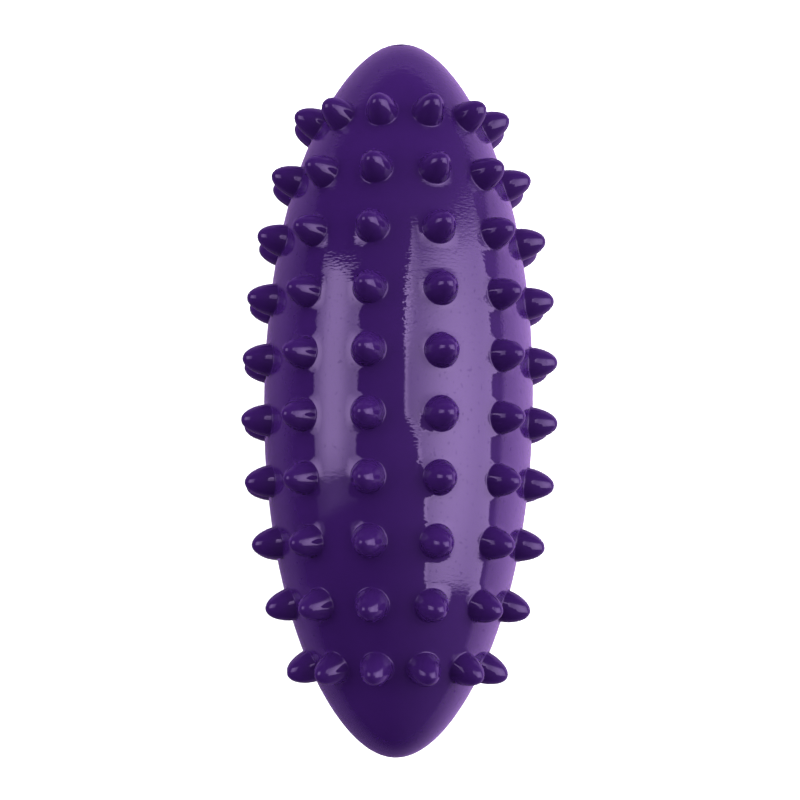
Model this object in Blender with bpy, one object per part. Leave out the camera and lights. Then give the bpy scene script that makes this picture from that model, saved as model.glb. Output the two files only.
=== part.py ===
"""Spiked massage roller: a hollow, air-filled plastic shell with an air valve in one end.

The roller lies on its side. X is its long axis, +X is the valve end, +Z is up, and the origin is
on the ground below its middle. It rests on two columns of spikes, either side of straight down.
Units are metres.
"""

import math

import bmesh
import bpy
from mathutils import Matrix, Vector

# Shell
LENGTH = 0.160  # pole to pole
BODY_RADIUS = 0.0300  # at the middle, between the spikes
END_SLIMMING = 0.10  # how much slimmer than an ellipsoid the ends become
SLIMMING_POWER = 4
WALL = 0.0028

# Spikes
RINGS = 10
SPIKES_PER_RING = 12
RING_PITCH = 0.01332
SPIKE_HEIGHT = 0.0059
SPIKE_BASE_RADIUS = 0.0036
SPIKE_TAPER = 1.5  # powers of the bullet-shaped outline
SPIKE_ROUNDING = 2.06
SPIKE_LEVELS = (0.45, 0.82)  # rings of the outline between base and tip, as shares of the height
LEAN_SHARE = 0.87  # how far a spike leans with the surface under it; 1 is square to it

# Air valve, with depths measured from the valve-end pole
GAP = 0.0003
FLANGE_RADIUS = 0.0050
FLANGE_FLAT_RADIUS = 0.0039
FLANGE_FACE_DEPTH = 0.0008
FLANGE_EDGE_DEPTH = 0.0015
FLANGE_BACK_DEPTH = 0.0029
STEM_RADIUS = 0.0036
BOSS_RADIUS = 0.0080
BOSS_END_DEPTH = 0.0120
LIP_RADIUS = 0.0048
LIP_THICKNESS = 0.0006
LIP_TAPER = 0.0016
CHANNEL_RADIUS = 0.00135
HEAD_RADIUS = 0.0030
HEAD_BACK_DEPTH = 0.0018
SHANK_RADIUS = CHANNEL_RADIUS - GAP
SHANK_TIP_DEPTH = 0.0110
NOTCH_WIDTH = 0.0024
NOTCH_DEPTH = 0.0016

# Facets
SIDES = 2 * SPIKES_PER_RING
SPIKE_SIDES = 8
END_CIRCLES = 4  # between the last cell and the end
INNER_CIRCLES = 9  # of the air space, between the boss and the far pole
HEAD_CIRCLES = 4  # of the stopper's domed head

POLE = LENGTH / 2
FIRST_RING = -RING_PITCH * (RINGS - 1) / 2
CELLS_END = RING_PITCH * RINGS / 2
SPIKE_TURN = 2 * math.pi / SPIKES_PER_RING
FIRST_INSET = RING_PITCH / 10  # before a foot's corners move to their round outline
X_AXIS = Vector((1, 0, 0))


def surface_radius(x, shrink=0.0):
    """Radius of the body at x, or of a body smaller all round by shrink."""
    t = min(1.0, abs(x) / (POLE - shrink))
    slimmed = 1 - END_SLIMMING * t**SLIMMING_POWER
    return (BODY_RADIUS - shrink) * math.sqrt(1 - t * t) * slimmed


def surface_x(radius, shrink=0.0):
    """The x at which the +X half of the body has this radius, by bisection."""
    low, high = 0.0, POLE - shrink
    for _ in range(50):
        middle = (low + high) / 2
        if surface_radius(middle, shrink) > radius:
            low = middle
        else:
            high = middle
    return low


def lean_angle(x):
    """Tilt of a spike's axis from straight out, towards its end of the roller."""
    step = RING_PITCH / 100
    slope = (surface_radius(x + step) - surface_radius(x - step)) / (2 * step)
    return -math.atan(slope) * LEAN_SHARE


def spike_width(share):
    """Radius of a spike at this share of its height."""
    return SPIKE_BASE_RADIUS * (1 - share**SPIKE_TAPER) ** (1 / SPIKE_ROUNDING)


def around(x, radius, angle):
    """The point at this x, distance from the long axis and angle from +Z."""
    return Vector((x, radius * math.sin(angle), radius * math.cos(angle)))


def middle_height():
    """Height of the long axis when the roller lies on its middle rings' lowest spikes."""
    x = RING_PITCH / 2
    tip_radius = surface_radius(x) + SPIKE_HEIGHT * math.cos(lean_angle(x))
    return tip_radius * math.cos(SPIKE_TURN / 2)


def circle_of_points(bm, x, radius):
    return [bm.verts.new(around(x, radius, math.tau * n / SIDES)) for n in range(SIDES)]


def join_circles(bm, first, second):
    for n in range(SIDES):
        after = (n + 1) % SIDES
        bm.faces.new((first[n], first[after], second[after], second[n]))


def join_to_pole(bm, circle, x):
    pole = bm.verts.new((x, 0, 0))
    for n in range(SIDES):
        bm.faces.new((circle[n], circle[(n + 1) % SIDES], pole))


def spike_point(x, angle, turn, share):
    """A point on the spike at x and angle: turn goes around its axis, share up its height."""
    if share == 0:
        along = SPIKE_BASE_RADIUS * math.cos(turn) * math.cos(lean_angle(x))
        sideways = SPIKE_BASE_RADIUS * math.sin(turn) / surface_radius(x)
        return around(x + along, surface_radius(x + along), angle + sideways)
    outwards = around(0, 1, angle)
    lean = lean_angle(x)
    axis = outwards * math.cos(lean) + X_AXIS * math.sin(lean)
    lengthways = X_AXIS * math.cos(lean) - outwards * math.sin(lean)
    sideways = around(0, 1, angle + math.pi / 2)
    foot = around(x, surface_radius(x), angle)
    across = lengthways * math.cos(turn) + sideways * math.sin(turn)
    return foot + axis * SPIKE_HEIGHT * share + across * spike_width(share)


def raise_spike(bm, cell, x, angle):
    """Inset a cell of the body to the spike's round foot, and extrude that into the spike."""
    foot = around(x, surface_radius(x), angle)
    tangent = around(0, 1, angle + math.pi / 2)
    eighth = math.tau / SPIKE_SIDES
    turns = []
    for corner in cell.verts:
        offset = corner.co - foot
        turns.append(eighth * round(math.atan2(offset.dot(tangent), offset.x) / eighth))
    bmesh.ops.inset_individual(bm, faces=[cell], thickness=FIRST_INSET)
    face = cell
    for share in (0, *SPIKE_LEVELS):
        if share > 0:
            face = bmesh.ops.extrude_discrete_faces(bm, faces=[face])["faces"][0]
        for corner, turn in zip(face.verts, turns):
            corner.co = spike_point(x, angle, turn, share)
    tip = bmesh.ops.poke(bm, faces=[face])["verts"][0]
    tip.co = spike_point(x, angle, 0, 1)


def add_spiked_part(bm):
    """The cells of the body, one for each spike, with their spikes. Returns its end circles."""
    circles = [circle_of_points(bm, -CELLS_END, surface_radius(CELLS_END))]
    for ring in range(RINGS):
        x = FIRST_RING + RING_PITCH * ring
        edge = x + RING_PITCH / 2
        circles.append(circle_of_points(bm, edge, surface_radius(edge)))
        low, high = circles[-2:]
        borders = []
        for spike in range(SPIKES_PER_RING):
            borders.append(bm.verts.new(around(x, surface_radius(x), SPIKE_TURN * spike)))
        for spike in range(SPIKES_PER_RING):
            left, right = 2 * spike, (2 * spike + 2) % SIDES
            outline = (
                low[left],
                low[left + 1],
                low[right],
                borders[(spike + 1) % SPIKES_PER_RING],
                high[right],
                high[left + 1],
                high[left],
                borders[spike],
            )
            raise_spike(bm, bm.faces.new(outline), x, SPIKE_TURN * (spike + 0.5))
    return circles[0], circles[-1]


def end_outline(radius):
    """Points of the outer surface from the last cell's edge towards a smaller radius."""
    start = math.asin(CELLS_END / POLE)
    finish = math.asin(surface_x(radius) / POLE)
    points = []
    for n in range(1, END_CIRCLES + 1):
        x = POLE * math.sin(start + (finish - start) * n / END_CIRCLES)
        points.append((x, surface_radius(x)))
    return points


def inner_outline():
    """Points of the valve hole, its boss and the air space, from outside to the far pole."""
    hole = FLANGE_RADIUS + GAP
    bore = STEM_RADIUS + GAP
    floor = POLE - FLANGE_BACK_DEPTH - GAP
    boss_end = POLE - BOSS_END_DEPTH
    points = [(floor, hole), (floor, bore), (boss_end, bore), (boss_end, BOSS_RADIUS)]
    inner_pole = POLE - WALL
    start = math.asin(surface_x(BOSS_RADIUS, WALL) / inner_pole)
    for n in range(INNER_CIRCLES):
        x = inner_pole * math.sin(start - (start + math.pi / 2) * n / INNER_CIRCLES)
        points.append((x, surface_radius(x, WALL)))
    return points


def shell_mesh():
    bm = bmesh.new()
    low, high = add_spiked_part(bm)
    for x, radius in end_outline(FLANGE_RADIUS + GAP) + inner_outline():
        circle = circle_of_points(bm, x, radius)
        join_circles(bm, high, circle)
        high = circle
    join_to_pole(bm, high, WALL - POLE)
    for x, radius in end_outline(0)[:-1]:
        circle = circle_of_points(bm, -x, radius)
        join_circles(bm, low, circle)
        low = circle
    join_to_pole(bm, low, -POLE)
    return bm


def turned_mesh(profile):
    """A solid turned about X from a list of (depth from the valve pole, radius) points."""
    bm = bmesh.new()
    points = [bm.verts.new((POLE - depth, 0, radius)) for depth, radius in profile]
    edges = [bm.edges.new(pair) for pair in zip(points, points[1:])]
    if profile[0][1] > 0:
        edges.append(bm.edges.new((points[-1], points[0])))
    bmesh.ops.spin(
        bm,
        geom=points + edges,
        cent=(0, 0, 0),
        axis=X_AXIS,
        angle=math.tau,
        steps=SIDES,
        use_merge=True,
    )
    bmesh.ops.remove_doubles(bm, verts=bm.verts, dist=1e-6)
    return bm


def insert_mesh():
    recess = HEAD_RADIUS + GAP
    recess_depth = HEAD_BACK_DEPTH + GAP
    lip_start = BOSS_END_DEPTH + GAP
    lip_end = lip_start + LIP_THICKNESS
    return turned_mesh(
        [
            (FLANGE_FACE_DEPTH, recess),
            (FLANGE_FACE_DEPTH, FLANGE_FLAT_RADIUS),
            (FLANGE_EDGE_DEPTH, FLANGE_RADIUS),
            (FLANGE_BACK_DEPTH, FLANGE_RADIUS),
            (FLANGE_BACK_DEPTH, STEM_RADIUS),
            (lip_start, STEM_RADIUS),
            (lip_start, LIP_RADIUS),
            (lip_end, LIP_RADIUS),
            (lip_end + LIP_TAPER, STEM_RADIUS),
            (lip_end + LIP_TAPER, CHANNEL_RADIUS),
            (recess_depth, CHANNEL_RADIUS),
            (recess_depth, recess),
        ]
    )


def stopper_mesh():
    """The pin, with a domed head that completes the round end of the body, and a rounded tip."""
    radii = [HEAD_RADIUS * n / HEAD_CIRCLES for n in range(1, HEAD_CIRCLES + 1)]
    tip_start = SHANK_TIP_DEPTH - SHANK_RADIUS
    halfway = SHANK_RADIUS * math.sin(math.radians(45))
    return turned_mesh(
        [
            (0, 0),
            *((POLE - surface_x(radius), radius) for radius in radii),
            (HEAD_BACK_DEPTH, HEAD_RADIUS),
            (HEAD_BACK_DEPTH, SHANK_RADIUS),
            (tip_start, SHANK_RADIUS),
            (tip_start + halfway, halfway),
            (SHANK_TIP_DEPTH, 0),
        ]
    )


def plastic(name, colour, roughness):
    material = bpy.data.materials.new(name)
    material.use_nodes = True
    shader = material.node_tree.nodes["Principled BSDF"]
    shader.inputs["Base Color"].default_value = (*colour, 1)
    shader.inputs["Roughness"].default_value = roughness
    shader.inputs["Metallic"].default_value = 0
    return material


def add_piece(name, bm, material, parent):
    """An object made from bm, shaded smooth but for its real edges."""
    bmesh.ops.recalc_face_normals(bm, faces=bm.faces)
    mesh = bpy.data.meshes.new(name)
    bm.to_mesh(mesh)
    bm.free()
    mesh.shade_smooth()
    mesh.set_sharp_from_angle(angle=math.radians(50))
    mesh.materials.append(material)
    piece = bpy.data.objects.new(name, mesh)
    bpy.context.collection.objects.link(piece)
    piece.parent = parent
    return piece


def cut_nail_notch(insert):
    """Cut the slot through the flange's edge that a fingernail lifts the stopper by."""
    bm = bmesh.new()
    bmesh.ops.create_cube(bm, size=1)
    length = FLANGE_RADIUS
    size = Matrix.Diagonal((2 * NOTCH_DEPTH, NOTCH_WIDTH, length, 1))
    place = Matrix.Translation((POLE, 0, HEAD_RADIUS + length / 2))
    bmesh.ops.transform(bm, matrix=place @ size, verts=bm.verts)
    mesh = bpy.data.meshes.new("nail_notch")
    bm.to_mesh(mesh)
    bm.free()
    cutter = bpy.data.objects.new("nail_notch", mesh)
    bpy.context.collection.objects.link(cutter)
    cutter.parent = insert.parent
    cutter.hide_render = True
    cutter.display_type = "WIRE"
    cut = insert.modifiers.new("nail_notch", "BOOLEAN")
    cut.object = cutter
    cut.operation = "DIFFERENCE"


def main():
    for thing in list(bpy.data.objects):
        bpy.data.objects.remove(thing)

    long_axis = bpy.data.objects.new("long_axis", None)
    bpy.context.collection.objects.link(long_axis)
    long_axis.location = (0, 0, middle_height())

    gloss_violet = plastic("gloss_violet_plastic", (0.034, 0.012, 0.098), 0.18)
    soft_violet = plastic("soft_dark_violet_plastic", (0.016, 0.008, 0.035), 0.5)
    stopper_violet = plastic("stopper_violet_plastic", (0.05, 0.02, 0.12), 0.35)

    add_piece("spiked_shell", shell_mesh(), gloss_violet, long_axis)
    insert = add_piece("valve_insert", insert_mesh(), soft_violet, long_axis)
    cut_nail_notch(insert)
    add_piece("valve_stopper", stopper_mesh(), stopper_violet, long_axis)


main()
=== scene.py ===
"""Looks of the spiked massage roller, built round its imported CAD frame.

The roller lies on its side, with its long axis along X and its valve at the +X end. The skin with
its spikes, the valve's bung and its stopper are made again here as fine meshes. Units are metres.
"""

import math

import bmesh
import bpy
import numpy as np
from mathutils import Matrix, Vector


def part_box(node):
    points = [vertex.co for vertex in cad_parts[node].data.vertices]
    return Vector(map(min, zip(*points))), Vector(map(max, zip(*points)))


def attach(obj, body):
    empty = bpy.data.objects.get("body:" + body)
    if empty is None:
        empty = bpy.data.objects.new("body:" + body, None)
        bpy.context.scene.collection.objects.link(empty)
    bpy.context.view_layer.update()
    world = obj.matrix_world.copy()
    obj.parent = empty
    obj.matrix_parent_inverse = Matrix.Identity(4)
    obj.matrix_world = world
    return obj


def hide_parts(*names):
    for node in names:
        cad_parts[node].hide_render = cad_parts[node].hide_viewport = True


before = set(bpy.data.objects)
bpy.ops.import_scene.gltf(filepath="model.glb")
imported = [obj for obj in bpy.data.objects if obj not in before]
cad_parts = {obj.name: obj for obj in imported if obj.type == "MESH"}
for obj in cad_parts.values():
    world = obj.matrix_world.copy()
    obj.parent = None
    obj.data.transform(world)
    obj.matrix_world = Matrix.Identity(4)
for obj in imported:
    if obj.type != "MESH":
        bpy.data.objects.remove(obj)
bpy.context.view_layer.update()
shell_low, shell_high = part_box("spiked_shell")

# The body, as the CAD shell has it
POLE = -shell_low.x
AXIS_HEIGHT = (shell_low.z + shell_high.z) / 2
BODY_RADIUS = 0.0300
END_SLIMMING = 0.10  # how much slimmer than an ellipsoid the ends become
SLIMMING_POWER = 4
WALL = 0.0028

# The spikes
RINGS = 10
SPIKES_PER_RING = 12
RING_PITCH = 0.01332
SPIKE_HEIGHT = 0.0059
SPIKE_BASE_RADIUS = 0.0036
SPIKE_TAPER = 1.5  # powers of the bullet-shaped outline
SPIKE_ROUNDING = 2.06
LEAN_SHARE = 0.87  # how far a spike leans with the surface under it; 1 is square to it
FILLET = 0.00035  # round the foot of each spike
SPIKE_TURN = math.tau / SPIKES_PER_RING
FIRST_RING = -RING_PITCH * (RINGS - 1) / 2
CELLS_END = RING_PITCH * RINGS / 2

# The valve, with depths measured from the valve-end pole
FLANGE_RADIUS = 0.0050
FLANGE_FLAT_RADIUS = 0.0039
FLANGE_FACE_DEPTH = 0.0008
FLANGE_BACK_DEPTH = 0.0029
STEM_RADIUS = 0.0036
BOSS_RADIUS = 0.0080
BOSS_END_DEPTH = 0.0120
LIP_RADIUS = 0.0048
LIP_THICKNESS = 0.0006
LIP_TAPER = 0.0016
CHANNEL_RADIUS = 0.00135
HEAD_RADIUS = 0.0030
HEAD_BACK_DEPTH = 0.0018
SHANK_RADIUS = 0.00105
SHANK_TIP_DEPTH = 0.0110
GAP = 0.0003

# The nail notch, cut by a round bar across the edge of the flange
NOTCH_WIDTH = 0.0024
NOTCH_RISE = 0.00035  # of the bar's axis over the flange's face

# The stopper's ribs, which grip the channel
RIBS = 3
RIB_PITCH = 0.0016
FIRST_RIB = 0.0022  # behind the head
RIB_LENGTH = 0.00055
RIB_CREST = 0.00015  # from a rib's start
RIB_HEIGHT = 0.00009
RIB_END_HEIGHT = 0.00001

# Broken edges
RIM_ROUNDING = 0.0002
RIM_CURVE = ((0.15, 0.8), (0.4, 0.25), (1, 0))  # shares of it, inwards along X and outwards
HOLE_EDGE = 0.0001
BORE_EDGE = 0.0003
BOSS_EDGE = 0.0006
CHANNEL_EDGE = 0.0004
BUNG_EDGE = 0.00009
STOPPER_EDGE = 0.00012
EDGE_SEGMENTS = 3
LEAST_EDGE_ANGLE = math.radians(28)

SPIKE_MARK = "on_spike"  # the mesh attribute that is 1 on the spikes and 0 on the body

# Mesh density, and the fineness of two numerical searches
CELL_SIDE = 8  # steps along each side of a spike's cell
AROUND = CELL_SIDE * SPIKES_PER_RING
BLEND_ROWS = 2
FILLET_ROWS = 3
FLANK_ROWS = 10
END_ROWS = 22
INNER_ROWS = 40
HEAD_CIRCLES = 10
DOME_STEPS = 5
TIP_STEPS = 6
VALVE_SIDES = 96
NOTCH_SIDES = 48
SURFACE_SAMPLES = 20001
FOOT_PASSES = 6

# Small differences that moulding leaves
SEED = 11
HEIGHT_SPREAD = 0.012
WIDTH_SPREAD = 0.008
LEAN_SPREAD = math.radians(0.8)
WAVES_AROUND = (1, 2, 3, 5, 7)
WAVES_ALONG = (3, 5, 8)  # whole waves from pole to pole
WAVE_HEIGHT = 0.00002 / 3
EVEN_END = 0.012  # the length at each pole over which the waves fade in


def surface_radius(x, shrink=0.0):
    """Radius of the body at x, or of a body smaller all round by shrink."""
    t = np.clip(np.abs(x) / (POLE - shrink), 0, 1)
    slimmed = 1 - END_SLIMMING * t**SLIMMING_POWER
    return (BODY_RADIUS - shrink) * np.sqrt(1 - t * t) * slimmed


def surface_x(radius, shrink=0.0):
    """The x at which the +X half of the body has this radius."""
    x = np.linspace(0, POLE - shrink, SURFACE_SAMPLES)
    return float(np.interp(-radius, -surface_radius(x, shrink), x))


def lean_angle(x):
    """Tilt of a spike's axis from straight out, towards its end of the roller."""
    step = RING_PITCH / 100
    slope = (surface_radius(x + step) - surface_radius(x - step)) / (2 * step)
    return -math.atan(slope) * LEAN_SHARE


def around(x, radius, angle):
    """Points at these x, distances from the long axis and angles from +Z, as rows."""
    return np.stack(np.broadcast_arrays(x, radius * np.sin(angle), radius * np.cos(angle)), -1)


def angles_of(points):
    """Angles of these points round the long axis from +Z."""
    return np.arctan2(points[:, 1], points[:, 2])


def turn_from(angle, points):
    """Angles of these points from this angle, between minus and plus half a turn."""
    return (angles_of(points) - angle + math.pi) % math.tau - math.pi


def unevenness(points):
    """How far the moulded surface stands proud of the ideal one, as a few long waves."""
    chance = np.random.RandomState(SEED)
    angle = angles_of(points)
    height = np.zeros(len(points))
    for turns in WAVES_AROUND:
        for waves in WAVES_ALONG:
            shift = chance.uniform(0, math.tau, 2)
            along = math.tau * waves * points[:, 0] / POLE / 2
            height += np.sin(turns * angle + shift[0]) * np.sin(along + shift[1])
    return height * WAVE_HEIGHT


class Builder:
    """Collects the points and faces of one mesh, ring by ring."""

    def __init__(self):
        self.points = []
        self.marks = []
        self.faces = []
        self.count = 0

    def add(self, points, mark=0.0):
        """Adds points, each with this mark, and returns their numbers."""
        points = np.asarray(points, float).reshape(-1, 3)
        self.points.append(points)
        self.marks += [mark] * len(points)
        self.count += len(points)
        return np.arange(self.count - len(points), self.count)

    def join(self, first, second):
        """Joins two closed rings of the same length by quads."""
        after = np.roll(first, -1)
        second_after = np.roll(second, -1)
        self.faces += np.stack([first, second, second_after, after], 1).tolist()

    def grow(self, last, points, mark=0.0):
        """Adds a ring of points, joins it to the last ring and returns its numbers."""
        ring = self.add(points, mark)
        self.join(last, ring)
        return ring

    def close(self, ring, point, mark=0.0):
        """Closes a ring to one point by triangles."""
        centre = int(self.add(point, mark)[0])
        for here, after in zip(ring.tolist(), np.roll(ring, -1).tolist()):
            self.faces.append([here, centre, after])

    def all_points(self):
        return np.concatenate(self.points)


def make_object(name, points, faces):
    """A mesh object on the long axis with its faces pointing outwards, shaded smooth."""
    mesh = bpy.data.meshes.new(name)
    mesh.from_pydata(np.asarray(points).tolist(), [], faces)
    bm = bmesh.new()
    bm.from_mesh(mesh)
    bmesh.ops.recalc_face_normals(bm, faces=bm.faces)
    bm.to_mesh(mesh)
    bm.free()
    mesh.shade_smooth()
    thing = bpy.data.objects.new(name, mesh)
    thing.location.z = AXIS_HEIGHT
    bpy.context.scene.collection.objects.link(thing)
    return thing


# The skin: the shell and all its spikes, in the roller's own axes


def add_grid(skin, angles):
    """The circles between the rings of spikes, and in each ring the borders between spikes."""
    circles = []
    for k in range(RINGS + 1):
        x = RING_PITCH * k - CELLS_END
        circles.append(skin.add(around(x, surface_radius(x), angles)))
    borders = []
    for k in range(RINGS):
        x = RING_PITCH * (k + np.arange(1, CELL_SIDE) / CELL_SIDE) - CELLS_END
        radius = surface_radius(x)
        borders.append([skin.add(around(x, radius, SPIKE_TURN * j)) for j in range(SPIKES_PER_RING)])
    return circles, borders


def cell_outline(circles, borders, ring, spike):
    """Numbers of the points round one spike's cell, from its +X, -angle corner towards +angle."""
    first = CELL_SIDE * spike
    steps = np.arange(CELL_SIDE)
    top = circles[ring + 1][(first + steps) % AROUND]
    bottom = circles[ring][(first + CELL_SIDE - steps) % AROUND]
    far = borders[ring][(spike + 1) % SPIKES_PER_RING][::-1]
    near = borders[ring][spike]
    top_corner = circles[ring + 1][(first + CELL_SIDE) % AROUND]
    bottom_corner = circles[ring][first % AROUND]
    return np.concatenate([top, [top_corner], far, bottom, [bottom_corner], near])


def foot_heights(x, axis, starts):
    """How far these points have to move along a spike's axis to reach the body's surface."""
    heights = np.zeros(len(starts))
    for _ in range(FOOT_PASSES):
        points = starts + np.outer(heights, axis)
        from_axis = np.hypot(points[:, 1], points[:, 2])
        heights -= (from_axis - surface_radius(points[:, 0])) / math.cos(lean_angle(x))
    return heights


def on_surface(x, axis, starts):
    """These points, moved along a spike's axis to the body's surface."""
    return starts + np.outer(foot_heights(x, axis, starts), axis)


def add_spike(skin, outline, edge, x, angle, chance):
    """Fills the cell whose outline has these numbers and points, from its edge to a spike's tip."""
    lean = lean_angle(x) + chance.normal(0, LEAN_SPREAD)
    tall = SPIKE_HEIGHT * (1 + chance.normal(0, HEIGHT_SPREAD))
    base = SPIKE_BASE_RADIUS * (1 + chance.normal(0, WIDTH_SPREAD))
    side_lean = chance.normal(0, LEAN_SPREAD)

    centre = around(x, surface_radius(x), angle)
    outwards = around(0, 1, angle + side_lean)
    along = np.array([1.0, 0, 0])
    axis = outwards * math.cos(lean) + along * math.sin(lean)
    lengthways = along * math.cos(lean) - outwards * math.sin(lean)
    sideways = around(0, 1, angle + side_lean + math.pi / 2)
    turns = math.tau * (np.arange(len(outline)) / len(outline) - 1 / 8)
    across = np.outer(np.cos(turns), lengthways) + np.outer(np.sin(turns), sideways)

    def width_at(share):
        return base * (1 - share**SPIKE_TAPER) ** (1 / SPIKE_ROUNDING)

    flank_width = width_at(FILLET / tall)
    foot = on_surface(x, axis, centre + across * (flank_width + FILLET))

    # The body between the cell's edge and the foot
    edge_turn = turn_from(angle, edge)
    foot_turn = turn_from(angle, foot)
    last = outline
    for row in range(1, BLEND_ROWS + 1):
        share = row / (BLEND_ROWS + 1)
        row_x = edge[:, 0] * (1 - share) + foot[:, 0] * share
        row_angle = edge_turn * (1 - share) + foot_turn * share + angle
        last = skin.grow(last, around(row_x, surface_radius(row_x), row_angle))
    last = skin.grow(last, foot)

    # The fillet
    for row in range(1, FILLET_ROWS + 1):
        bend = math.pi / 2 * row / FILLET_ROWS
        width = flank_width + FILLET * (1 - math.sin(bend))
        points = on_surface(x, axis, centre + across * width)
        points = points + axis * FILLET * (1 - math.cos(bend))
        last = skin.grow(last, points, row / FILLET_ROWS)

    # The flank, closed at the tip
    start = foot_heights(x, axis, centre + across * flank_width) + FILLET
    for row in range(1, FLANK_ROWS + 1):
        rise = 1 - (1 - row / (FLANK_ROWS + 1)) ** 2
        height = start + (tall - start) * rise
        width = width_at(np.clip(height, 0, tall) / tall)
        last = skin.grow(last, centre + np.outer(height, axis) + across * width[:, None], 1.0)
    skin.close(last, centre + axis * tall, 1.0)


def add_spikes(skin, circles, borders):
    chance = np.random.RandomState(SEED)
    grid = skin.all_points()
    for ring in range(RINGS):
        x = FIRST_RING + RING_PITCH * ring
        for spike in range(SPIKES_PER_RING):
            outline = cell_outline(circles, borders, ring, spike)
            add_spike(skin, outline, grid[outline], x, SPIKE_TURN * (spike + 0.5), chance)


def add_tail_end(skin, circle, angles):
    """The round end without a valve, from the last circle of the grid to its pole."""
    start = math.asin(CELLS_END / POLE)
    for row in range(1, END_ROWS):
        x = -POLE * math.sin(start + (math.pi / 2 - start) * row / END_ROWS)
        circle = skin.grow(circle, around(x, surface_radius(x), angles))
    skin.close(circle, (-POLE, 0, 0))


def valve_end_outline():
    """(x, radius) points over the valve end, through its hole and boss and round the air space."""
    hole = FLANGE_RADIUS + GAP
    bore = STEM_RADIUS + GAP
    floor = POLE - FLANGE_BACK_DEPTH - GAP
    boss_end = POLE - BOSS_END_DEPTH
    inner_pole = POLE - WALL

    outline = []
    start = math.asin(CELLS_END / POLE)
    finish = math.asin(surface_x(hole) / POLE)
    for row in range(1, END_ROWS + 1):
        x = POLE * math.sin(start + (finish - start) * row / END_ROWS)
        outline.append((x, surface_radius(x)))

    rim_x = outline.pop()[0]
    for inwards, outwards in RIM_CURVE:
        outline.append((rim_x - RIM_ROUNDING * inwards, hole + RIM_ROUNDING * outwards))
    outline += [
        (floor + HOLE_EDGE, hole),
        (floor, hole - HOLE_EDGE),
        (floor, bore + HOLE_EDGE),
        (floor - HOLE_EDGE, bore),
        (boss_end + BORE_EDGE, bore),
        (boss_end, bore + BORE_EDGE),
        (boss_end, BOSS_RADIUS - BOSS_EDGE),
        (boss_end + BOSS_EDGE, BOSS_RADIUS),
    ]

    start = math.asin(surface_x(BOSS_RADIUS + BOSS_EDGE, WALL) / inner_pole)
    for row in range(INNER_ROWS):
        x = inner_pole * math.sin(start - (start + math.pi / 2) * row / INNER_ROWS)
        outline.append((x, surface_radius(x, WALL)))
    return outline


def make_skin():
    """The shell with its spikes, its valve hole and its air space, as one closed mesh."""
    skin = Builder()
    angles = math.tau * np.arange(AROUND) / AROUND
    circles, borders = add_grid(skin, angles)
    add_spikes(skin, circles, borders)
    add_tail_end(skin, circles[0], angles)
    outside_count = skin.count
    last = circles[-1]
    for x, radius in valve_end_outline():
        last = skin.grow(last, around(x, radius, angles))
    skin.close(last, (WALL - POLE, 0, 0))

    points = skin.all_points()
    outer = np.hypot(points[:, 1], points[:, 2]) > surface_radius(points[:, 0]) - WALL / 4
    outer[:outside_count] = True
    away = around(0, 1, angles_of(points))
    fade = np.clip((POLE - np.abs(points[:, 0])) / EVEN_END, 0, 1)
    points = points + away * (unevenness(points) * fade * outer)[:, None]
    piece = make_object("roller_skin", points, skin.faces)
    marks = piece.data.attributes.new(SPIKE_MARK, "FLOAT", "POINT")
    marks.data.foreach_set("value", skin.marks)
    return piece


# The valve


def turned(name, profile):
    """A solid turned about the long axis from (depth from the valve pole, radius) points."""
    body = Builder()
    angles = math.tau * np.arange(VALVE_SIDES) / VALVE_SIDES
    rings = []
    for depth, radius in profile:
        if radius > 0:
            rings.append(body.add(around(POLE - depth, radius, angles)))
    for first, second in zip(rings, rings[1:]):
        body.join(first, second)
    if profile[0][1] == 0:
        body.close(rings[0], (POLE - profile[0][0], 0, 0))
        body.close(rings[-1], (POLE - profile[-1][0], 0, 0))
    else:
        body.join(rings[-1], rings[0])
    return make_object(name, body.all_points(), body.faces)


def soften_edges(piece, width):
    bevel = piece.modifiers.new("soft_edges", "BEVEL")
    bevel.width = width
    bevel.segments = EDGE_SEGMENTS
    bevel.limit_method = "ANGLE"
    bevel.angle_limit = LEAST_EDGE_ANGLE
    bevel.harden_normals = True


def make_notch_cutter():
    """The upright round bar that cuts a fingernail's notch in the flange, over the head."""
    bm = bmesh.new()
    bmesh.ops.create_cone(
        bm,
        cap_ends=True,
        segments=NOTCH_SIDES,
        radius1=NOTCH_WIDTH / 2,
        radius2=NOTCH_WIDTH / 2,
        depth=FLANGE_RADIUS,
    )
    mesh = bpy.data.meshes.new("nail_notch_cutter")
    bm.to_mesh(mesh)
    bm.free()
    notch = bpy.data.objects.new("nail_notch_cutter", mesh)
    notch.location.x = POLE - FLANGE_FACE_DEPTH + NOTCH_RISE
    notch.location.z = AXIS_HEIGHT + HEAD_RADIUS + FLANGE_RADIUS / 2
    notch.hide_render = True
    notch.display_type = "WIRE"
    bpy.context.scene.collection.objects.link(notch)
    return notch


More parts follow.
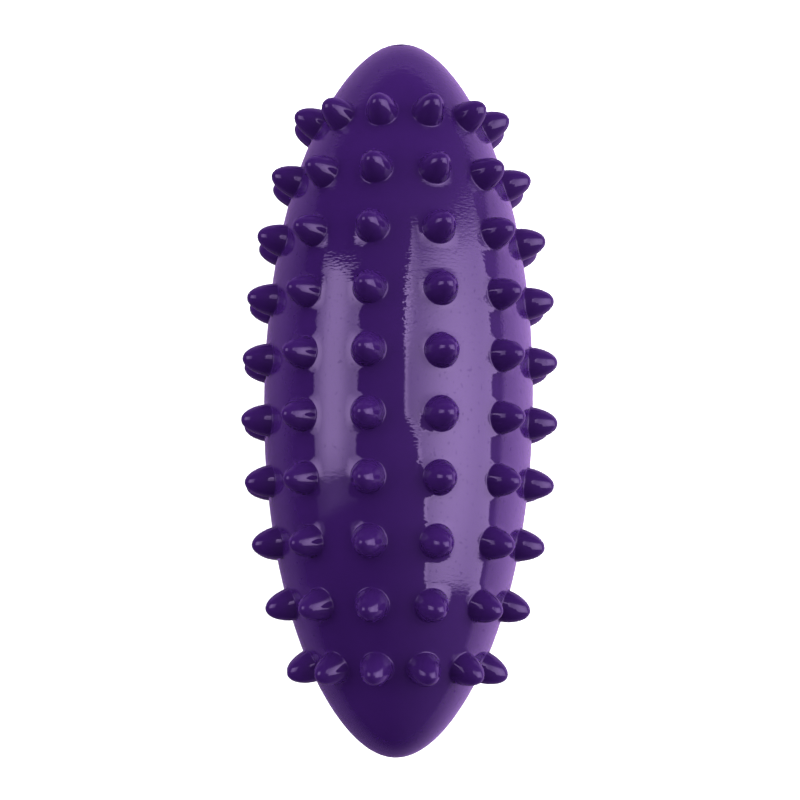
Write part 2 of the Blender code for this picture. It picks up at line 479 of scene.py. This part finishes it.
def make_valve_bung(notch):
    """The bung, whose flange goes on with the body's round end, cut by the notch."""
    recess = HEAD_RADIUS + GAP
    recess_depth = HEAD_BACK_DEPTH + GAP
    lip_start = BOSS_END_DEPTH + GAP
    lip_end = lip_start + LIP_THICKNESS + LIP_TAPER
    dome = []
    for step in range(1, DOME_STEPS + 1):
        radius = FLANGE_FLAT_RADIUS + (FLANGE_RADIUS - FLANGE_FLAT_RADIUS) * step / DOME_STEPS
        dome.append((POLE - surface_x(radius), radius))
    bung = turned(
        "valve_bung",
        [
            (FLANGE_FACE_DEPTH, recess),
            (FLANGE_FACE_DEPTH, FLANGE_FLAT_RADIUS),
            *dome,
            (FLANGE_BACK_DEPTH, FLANGE_RADIUS),
            (FLANGE_BACK_DEPTH, STEM_RADIUS),
            (lip_start, STEM_RADIUS),
            (lip_start, LIP_RADIUS),
            (lip_start + LIP_THICKNESS, LIP_RADIUS),
            (lip_end, STEM_RADIUS),
            (lip_end, CHANNEL_RADIUS),
            (recess_depth + CHANNEL_EDGE, CHANNEL_RADIUS),
            (recess_depth, CHANNEL_RADIUS + CHANNEL_EDGE),
            (recess_depth, recess),
        ],
    )
    cut = bung.modifiers.new("nail_notch", "BOOLEAN")
    cut.object = notch
    cut.operation = "DIFFERENCE"
    soften_edges(bung, BUNG_EDGE)
    return bung


def make_stopper():
    """The pin, with a domed head, a few low ribs and a rounded tip."""
    radii = [HEAD_RADIUS * n / HEAD_CIRCLES for n in range(1, HEAD_CIRCLES + 1)]
    profile = [
        (0, 0),
        *((POLE - surface_x(radius), radius) for radius in radii),
        (HEAD_BACK_DEPTH, HEAD_RADIUS),
        (HEAD_BACK_DEPTH, SHANK_RADIUS),
    ]
    for rib in range(RIBS):
        depth = HEAD_BACK_DEPTH + FIRST_RIB + rib * RIB_PITCH
        profile += [
            (depth, SHANK_RADIUS),
            (depth + RIB_CREST, SHANK_RADIUS + RIB_HEIGHT),
            (depth + RIB_LENGTH, SHANK_RADIUS + RIB_END_HEIGHT),
        ]
    tip_start = SHANK_TIP_DEPTH - SHANK_RADIUS
    for step in range(TIP_STEPS):
        bend = math.pi / 2 * step / TIP_STEPS
        profile.append((tip_start + SHANK_RADIUS * math.sin(bend), SHANK_RADIUS * math.cos(bend)))
    profile.append((SHANK_TIP_DEPTH, 0))
    stopper = turned("valve_stopper_pin", profile)
    soften_edges(stopper, STOPPER_EDGE)
    return stopper


# Materials

DEEP_VIOLET = (0.0150, 0.0039, 0.0435)
PALER_VIOLET = (0.0170, 0.0045, 0.0485)
RIPPLE_FREQUENCIES = (1900, 750, 750)  # along X, Y and Z, per metre


class Nodes:
    """Short ways to add and link shader nodes."""

    def __init__(self, tree):
        self.tree = tree

    def add(self, kind, **settings):
        node = self.tree.nodes.new(kind)
        for name, value in settings.items():
            setattr(node, name, value)
        return node

    def link(self, output, socket):
        self.tree.links.new(output, socket)

    def math(self, operation, first, second):
        """The result for two values, each of which is a number or a socket."""
        node = self.add("ShaderNodeMath", operation=operation)
        for socket, value in zip(node.inputs, (first, second)):
            if isinstance(value, bpy.types.NodeSocket):
                self.link(value, socket)
            else:
                socket.default_value = value
        return node.outputs[0]

    def stretched(self, vector, scale):
        node = self.add("ShaderNodeMapping")
        node.inputs["Scale"].default_value = scale
        self.link(vector, node.inputs["Vector"])
        return node.outputs[0]

    def noise(self, vector, scale, detail=2.0, roughness=0.5):
        node = self.add("ShaderNodeTexNoise")
        node.inputs["Scale"].default_value = scale
        node.inputs["Detail"].default_value = detail
        node.inputs["Roughness"].default_value = roughness
        self.link(vector, node.inputs["Vector"])
        return node.outputs["Fac"]

    def spread(self, value, from_low, from_high, to_low, to_high):
        """A smooth step: to_low up to from_low, and to_high from from_high on."""
        node = self.add("ShaderNodeMapRange", interpolation_type="SMOOTHSTEP")
        for name, number in (
            ("From Min", from_low),
            ("From Max", from_high),
            ("To Min", to_low),
            ("To Max", to_high),
        ):
            node.inputs[name].default_value = number
        self.link(value, node.inputs["Value"])
        return node.outputs["Result"]

    def bump(self, height, distance):
        node = self.add("ShaderNodeBump")
        node.inputs["Distance"].default_value = distance
        self.link(height, node.inputs["Height"])
        return node.outputs[0]

    def blend(self, share, first, second):
        """Colour between two, by a share that is a socket."""
        node = self.add("ShaderNodeMix", data_type="RGBA")
        self.link(share, node.inputs[0])
        node.inputs[6].default_value = (*first, 1)
        node.inputs[7].default_value = (*second, 1)
        return node.outputs[2]


def new_material(name):
    """A material, its nodes, its shader and the place on the object."""
    material = bpy.data.materials.new(name)
    material.use_nodes = True
    nodes = Nodes(material.node_tree)
    shader = material.node_tree.nodes["Principled BSDF"]
    place = nodes.add("ShaderNodeTexCoord").outputs["Object"]
    return material, nodes, shader, place


def violet(nodes, shader, place, grain):
    """The vinyl's own deep violet, a little uneven, and the haze of its surface."""
    tone = nodes.spread(nodes.noise(place, grain, 3.0), 0.3, 0.7, 0.0, 1.0)
    colour = nodes.blend(tone, DEEP_VIOLET, PALER_VIOLET)
    nodes.link(colour, shader.inputs["Base Color"])
    haze = nodes.spread(nodes.noise(place, grain * 1.5, 3.0), 0.3, 0.7, 0.3, 0.4)
    nodes.link(haze, shader.inputs["Roughness"])


def glossy_vinyl():
    """Moulded vinyl: a hard gloss, weaker on the spikes, with faint ripples and pits."""
    material, nodes, shader, place = new_material("glossy_violet_vinyl")
    shader.inputs["IOR"].default_value = 1.5
    shader.inputs["Specular IOR Level"].default_value = 0.0
    shader.inputs["Coat Roughness"].default_value = 0.025
    on_spike = nodes.add("ShaderNodeAttribute", attribute_name=SPIKE_MARK).outputs["Fac"]

    # Ripples come in patches, and are stronger in the valve's half and nearly gone on the spikes
    ripples = nodes.noise(nodes.stretched(place, RIPPLE_FREQUENCIES), 1.0, 1.0)
    patches = nodes.noise(place, 45.0, 1.0)
    along = nodes.add("ShaderNodeSeparateXYZ")
    nodes.link(place, along.inputs[0])
    strength = nodes.spread(patches, 0.4, 0.65, 0.4, 1.0)
    valve_half = nodes.spread(along.outputs[0], -0.02, 0.02, 0.4, 1.4)
    strength = nodes.math("MULTIPLY", strength, valve_half)
    strength = nodes.math("MULTIPLY", strength, nodes.spread(on_spike, 0, 1, 1.0, 0.1))
    ripples = nodes.math("MULTIPLY", ripples, strength)
    grain = nodes.math("MULTIPLY", nodes.noise(place, 2200.0, 1.0), on_spike)
    grain = nodes.math("MULTIPLY", grain, 0.12)
    normal = nodes.bump(nodes.math("ADD", ripples, grain), 0.000034)
    nodes.link(normal, shader.inputs["Normal"])
    nodes.link(normal, shader.inputs["Coat Normal"])

    # The gloss halves in the fillets and comes back a little on the flanks, and pits dull it
    pits = nodes.spread(nodes.noise(place, 1300.0, 0.0), 0.71, 0.79, 1.0, 0.72)
    foot = nodes.spread(on_spike, 0.0, 0.35, 1.0, 0.5)
    flank = nodes.spread(on_spike, 0.7, 1.0, 0.0, 0.12)
    gloss = nodes.math("MULTIPLY", nodes.math("ADD", foot, flank), pits)
    nodes.link(gloss, shader.inputs["Coat Weight"])
    violet(nodes, shader, place, 60.0)
    return material


def soft_rubber():
    """The bung: the same violet, softer, with a fine grain under its gloss."""
    material, nodes, shader, place = new_material("violet_soft_plastic")
    shader.inputs["Specular IOR Level"].default_value = 0.0
    shader.inputs["Coat Weight"].default_value = 0.8
    shader.inputs["Coat Roughness"].default_value = 0.12
    grain = nodes.bump(nodes.noise(place, 5200.0, 3.0, 0.6), 0.000004)
    nodes.link(grain, shader.inputs["Normal"])
    violet(nodes, shader, place, 900.0)
    return material


def stopper_plastic():
    """The stopper: the same violet, hard and bright from its mould."""
    material, nodes, shader, place = new_material("violet_stopper_plastic")
    shader.inputs["Specular IOR Level"].default_value = 0.0
    shader.inputs["Coat Weight"].default_value = 1.0
    shader.inputs["Coat Roughness"].default_value = 0.08
    grain = nodes.bump(nodes.noise(place, 3600.0, 2.0), 0.000003)
    nodes.link(grain, shader.inputs["Normal"])
    violet(nodes, shader, place, 700.0)
    return material


def floor_paper():
    """White paper with some light of its own, as on a light table."""
    material, nodes, shader, place = new_material("white_paper")
    tone = nodes.spread(nodes.noise(place, 9.0, 2.0), 0.3, 0.7, 0.0, 1.0)
    nodes.link(nodes.blend(tone, (0.90, 0.90, 0.90), (0.92, 0.92, 0.92)), shader.inputs["Base Color"])
    shader.inputs["Roughness"].default_value = 0.9
    shader.inputs["Emission Color"].default_value = (1, 1, 1, 1)
    shader.inputs["Emission Strength"].default_value = 0.35
    shader.inputs["Specular IOR Level"].default_value = 0.2
    return material


# The studio. Directions from the roller are an angle to the picture's right of straight up,
# and an angle towards the valve end

SOFTBOX_TINT = (0.75, 0.53, 1.0)
ROOM_TINT = (0.70, 0.42, 1.0)
FLOOR_SIDE = 12.0
FLOOR_DROP = 0.0002  # below the lowest spikes, which moulding makes uneven

CAMERA_DIRECTION = (-2.59, -5.84)
CAMERA_ROLL = math.radians(0.498)
CAMERA_DISTANCE = 0.4480  # from the long axis
CAMERA_SHIFT = (0.0018, -0.0060)
CAMERA_CLIP = (0.01, 50)
FOCAL_LENGTH = 90.17  # in millimetres, as the sensor's width
SENSOR_WIDTH = 36


def towards(right, up):
    """Unit vector from the roller at these angles, in degrees."""
    right, up = math.radians(right), math.radians(up)
    return Vector((math.sin(up), -math.sin(right) * math.cos(up), math.cos(right) * math.cos(up)))


def facing(back, upwards):
    """Rotation whose local +Z is back and whose local +Y is as near upwards as it can be."""
    side = upwards.cross(back).normalized()
    return Matrix((side, back.cross(side), back)).transposed().to_4x4()


def add_floor():
    """The floor, which gloss doesn't show: the world's lit table stands in for it there."""
    bm = bmesh.new()
    bmesh.ops.create_grid(bm, x_segments=1, y_segments=1, size=FLOOR_SIDE / 2)
    mesh = bpy.data.meshes.new("floor")
    bm.to_mesh(mesh)
    bm.free()
    mesh.materials.append(floor_paper())
    floor = bpy.data.objects.new("floor", mesh)
    floor.location.z = -FLOOR_DROP
    floor.visible_glossy = False
    bpy.context.scene.collection.objects.link(floor)


def window(nodes, value, low, high, soft):
    """1 between two angles and 0 outside them, with soft edges."""
    rise = nodes.spread(value, low - soft, low + soft, 0.0, 1.0)
    fall = nodes.spread(value, high - soft, high + soft, 1.0, 0.0)
    return nodes.math("MULTIPLY", rise, fall)


def sum_of(nodes, *terms):
    """The sum of several values, each of which is a number or a socket."""
    total = terms[0]
    for term in terms[1:]:
        total = nodes.math("ADD", total, term)
    return total


def right_softbox(nodes, right, up):
    """The large box: its inner edge is picked out, and steps outwards towards the tail end."""
    inner_edge = sum_of(
        nodes,
        nodes.spread(up, -27, -10, 5, 0),
        nodes.spread(up, -9.7, -6.3, 7, 0),
        nodes.spread(up, -3.5, 1.5, 11.5, 0),
        nodes.spread(up, 20, 28, 0, 6),
    )
    across = nodes.math("SUBTRACT", right, inner_edge)
    inner = nodes.spread(across, 1.3, 3.7, 0, 1)
    outer_edge = nodes.spread(up, -17, 3, 90, 82.3)
    outer = nodes.spread(nodes.math("SUBTRACT", right, outer_edge), -1.2, 1.2, 1, 0)
    lower_edge = nodes.spread(right, 30, 90, 0, 6)
    lower_edge = nodes.math("MULTIPLY", lower_edge, nodes.spread(up, -20, 0, 1, 0))
    height = window(nodes, nodes.math("SUBTRACT", up, lower_edge), -26.5, 25.5, 1.7)
    spill = nodes.math("MULTIPLY", window(nodes, up, 25.5, 31, 1.7), 0.55)
    bright_edge = sum_of(
        nodes,
        nodes.spread(across, 3, 7, 2.2, 0),
        nodes.math("MULTIPLY", nodes.spread(across, 3, 15, 3.2, 0), nodes.spread(up, 7, 18, 0, 1)),
    )
    level = sum_of(
        nodes,
        nodes.spread(right, 6, 46, 3.0, 7.0),
        nodes.spread(right, 48, 76, 0, -2.0),
        bright_edge,
    )
    fall = nodes.math("MULTIPLY", nodes.math("POWER", nodes.math("DIVIDE", up, 20), 2), 0.19)
    level = nodes.math("MULTIPLY", level, nodes.math("SUBTRACT", 1, fall))
    shape = nodes.math("MULTIPLY", nodes.math("MULTIPLY", inner, outer), sum_of(nodes, height, spill))
    return nodes.math("MULTIPLY", shape, level)


def left_softbox(nodes, right, up):
    """The narrow box, brightest in its outer half, with a little spill below it."""
    spill = nodes.math("MULTIPLY", window(nodes, up, -11, -6.5, 1.2), 0.2)
    height = sum_of(nodes, window(nodes, up, -6.5, 22.5, 1.2), spill)
    shape = nodes.math("MULTIPLY", window(nodes, right, -78, -38, 1.2), height)
    level = sum_of(
        nodes,
        nodes.spread(right, -57, -42, 5.6, 3.1),
        nodes.spread(right, -80, -62, -3.6, 0),
    )
    level = nodes.math("MULTIPLY", level, nodes.spread(up, -7, 0, 0.7, 1))
    return nodes.math("MULTIPLY", shape, level)


def softboxes(nodes, x, y, z):
    """Brightness of the two softboxes in each direction, as gloss shows them."""
    degree = 180 / math.pi
    up = nodes.math("MULTIPLY", nodes.math("ARCSINE", x, 0), degree)
    left_of = nodes.math("MULTIPLY", y, -1)
    right = nodes.math("MULTIPLY", nodes.math("ARCTAN2", left_of, z), degree)
    return sum_of(nodes, right_softbox(nodes, right, up), left_softbox(nodes, right, up))


def room_and_table(nodes, x, y, z):
    """Brightness of the dim room above the horizon and of the lit table below it."""
    towards_tail = nodes.math("MINIMUM", x, 0)
    room = sum_of(
        nodes, nodes.math("MULTIPLY", y, -0.33), nodes.math("MULTIPLY", towards_tail, 0.2), 0.22
    )
    room = nodes.math("MAXIMUM", room, 0)
    room = nodes.math("MULTIPLY", room, nodes.spread(x, 0.5, 0.85, 1, 0.2))
    narrowing = nodes.math("SUBTRACT", 1, nodes.math("MULTIPLY", nodes.math("POWER", x, 2), 0.8))
    right_side = nodes.math("MAXIMUM", nodes.math("MULTIPLY", y, -1.85), 0)
    table = sum_of(
        nodes,
        nodes.math("MULTIPLY", right_side, narrowing),
        nodes.math("MULTIPLY", nodes.math("MAXIMUM", x, 0), 0.65),
        nodes.spread(z, -0.60, -0.15, 0.35, 0),
    )
    horizon = sum_of(
        nodes, nodes.spread(x, 0, 0.35, -0.09, -0.15), nodes.spread(x, 0.45, 0.95, 0, 0.23)
    )
    below = nodes.spread(nodes.math("SUBTRACT", z, horizon), -0.10, 0.06, 1, 0)
    above = nodes.math("SUBTRACT", 1, below)
    return sum_of(
        nodes, nodes.math("MULTIPLY", room, above), nodes.math("MULTIPLY", table, below)
    )


def set_world():
    """White for the camera, a soft dome for matt light, and the dim studio for reflections."""
    world = bpy.data.worlds.new("studio")
    bpy.context.scene.world = world
    world.use_nodes = True
    world.cycles.sampling_method = "NONE"
    nodes = Nodes(world.node_tree)
    seen = world.node_tree.nodes["Background"]
    seen.inputs["Color"].default_value = (1, 1, 1, 1)
    seen.inputs["Strength"].default_value = 1.0

    split = nodes.add("ShaderNodeSeparateXYZ")
    nodes.link(nodes.add("ShaderNodeTexCoord").outputs["Generated"], split.inputs[0])
    x, y, z = split.outputs

    def glow(strength, tint=(1, 1, 1)):
        background = nodes.add("ShaderNodeBackground")
        background.inputs["Color"].default_value = (*tint, 1)
        nodes.link(strength, background.inputs["Strength"])
        return background.outputs[0]

    # The dome is brighter at the valve end and at both sides, the right one above all
    matt_light = sum_of(
        nodes,
        nodes.math("MULTIPLY", x, 2.0),
        nodes.math("MULTIPLY", nodes.math("MINIMUM", x, 0), 1.4),
        nodes.math("MULTIPLY", y, -1.2),
        nodes.math("MULTIPLY", nodes.math("POWER", y, 2), 5.0),
        1.55,
    )
    dome = glow(nodes.math("MAXIMUM", matt_light, 0.4))
    reflected = nodes.add("ShaderNodeAddShader")
    nodes.link(glow(softboxes(nodes, x, y, z), SOFTBOX_TINT), reflected.inputs[0])
    nodes.link(glow(room_and_table(nodes, x, y, z), ROOM_TINT), reflected.inputs[1])

    path = nodes.add("ShaderNodeLightPath")
    pick_gloss = nodes.add("ShaderNodeMixShader")
    nodes.link(path.outputs["Is Glossy Ray"], pick_gloss.inputs[0])
    nodes.link(dome, pick_gloss.inputs[1])
    nodes.link(reflected.outputs[0], pick_gloss.inputs[2])
    pick_camera = nodes.add("ShaderNodeMixShader")
    nodes.link(path.outputs["Is Camera Ray"], pick_camera.inputs[0])
    nodes.link(pick_gloss.outputs[0], pick_camera.inputs[1])
    nodes.link(seen.outputs[0], pick_camera.inputs[2])
    nodes.link(pick_camera.outputs[0], world.node_tree.nodes["World Output"].inputs["Surface"])


def add_camera():
    """The camera, over the roller, with the valve end at the top of the picture."""
    lens = bpy.data.cameras.new("camera")
    lens.sensor_width = SENSOR_WIDTH
    lens.lens = FOCAL_LENGTH
    lens.shift_x, lens.shift_y = CAMERA_SHIFT
    lens.clip_start, lens.clip_end = CAMERA_CLIP
    camera = bpy.data.objects.new("camera", lens)
    back = towards(*CAMERA_DIRECTION)
    place = Vector((0, 0, AXIS_HEIGHT)) + back * CAMERA_DISTANCE
    roll = Matrix.Rotation(CAMERA_ROLL, 4, "Z")
    camera.matrix_world = Matrix.Translation(place) @ facing(back, Vector((1, 0, 0))) @ roll
    bpy.context.scene.collection.objects.link(camera)
    bpy.context.scene.camera = camera


def main():
    scene = bpy.context.scene
    scene.view_settings.view_transform = "Standard"
    add_camera()
    set_world()
    add_floor()

    skin = make_skin()
    skin.data.materials.append(glossy_vinyl())
    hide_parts("spiked_shell")
    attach(skin, "roller")

    notch = make_notch_cutter()
    bung = make_valve_bung(notch)
    bung.data.materials.append(soft_rubber())
    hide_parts("valve_insert")
    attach(bung, "roller")
    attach(notch, "roller")

    stopper = make_stopper()
    stopper.data.materials.append(stopper_plastic())
    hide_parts("valve_stopper")
    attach(stopper, "stopper")


main()
